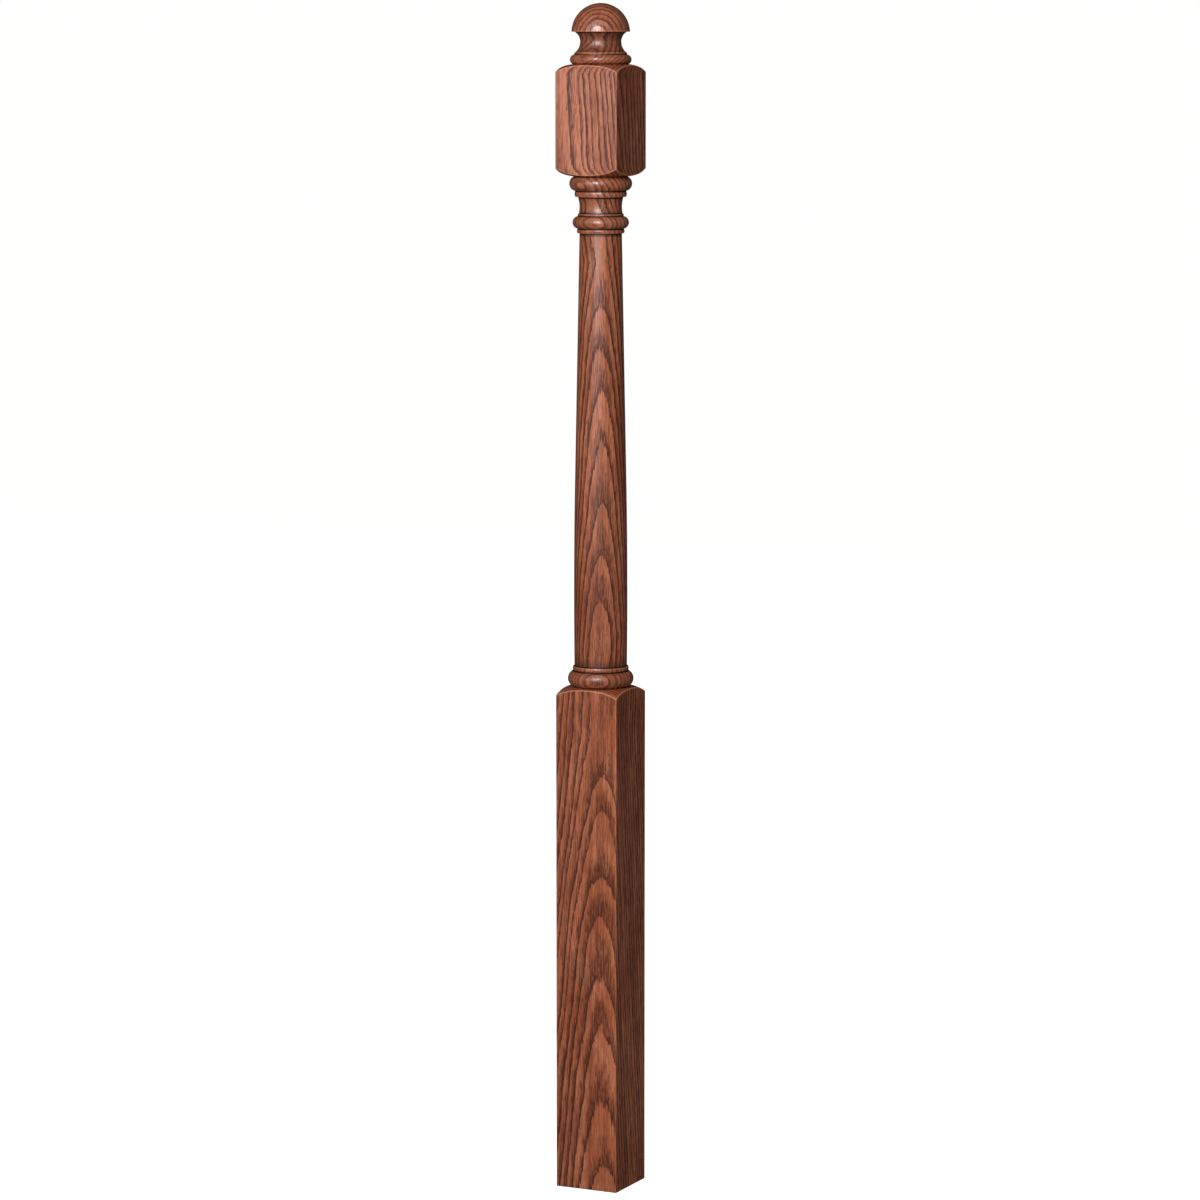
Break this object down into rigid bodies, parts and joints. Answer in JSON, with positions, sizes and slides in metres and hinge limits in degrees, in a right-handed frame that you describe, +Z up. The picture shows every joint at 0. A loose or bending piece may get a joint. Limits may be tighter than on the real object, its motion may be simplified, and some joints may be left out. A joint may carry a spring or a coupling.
{
  "type": "newel post",
  "caption": "Turned wooden newel post: square foot, entasis shaft with beads, square rail block and a mushroom-domed finial.",
  "frame": {"origin": "centre of the underside of the square foot", "axes": "+Z up along the turning axis; X and Y are square to the faces of the blank, which are alike"},
  "size_m": [0.0762, 0.0762, 1.3472],
  "materials": {
    "stained_oak": "red-brown stain under satin lacquer"
  },
  "bodies": {
    "root": {"newel_post": "stained_oak"}
  },
  "joints": []
}
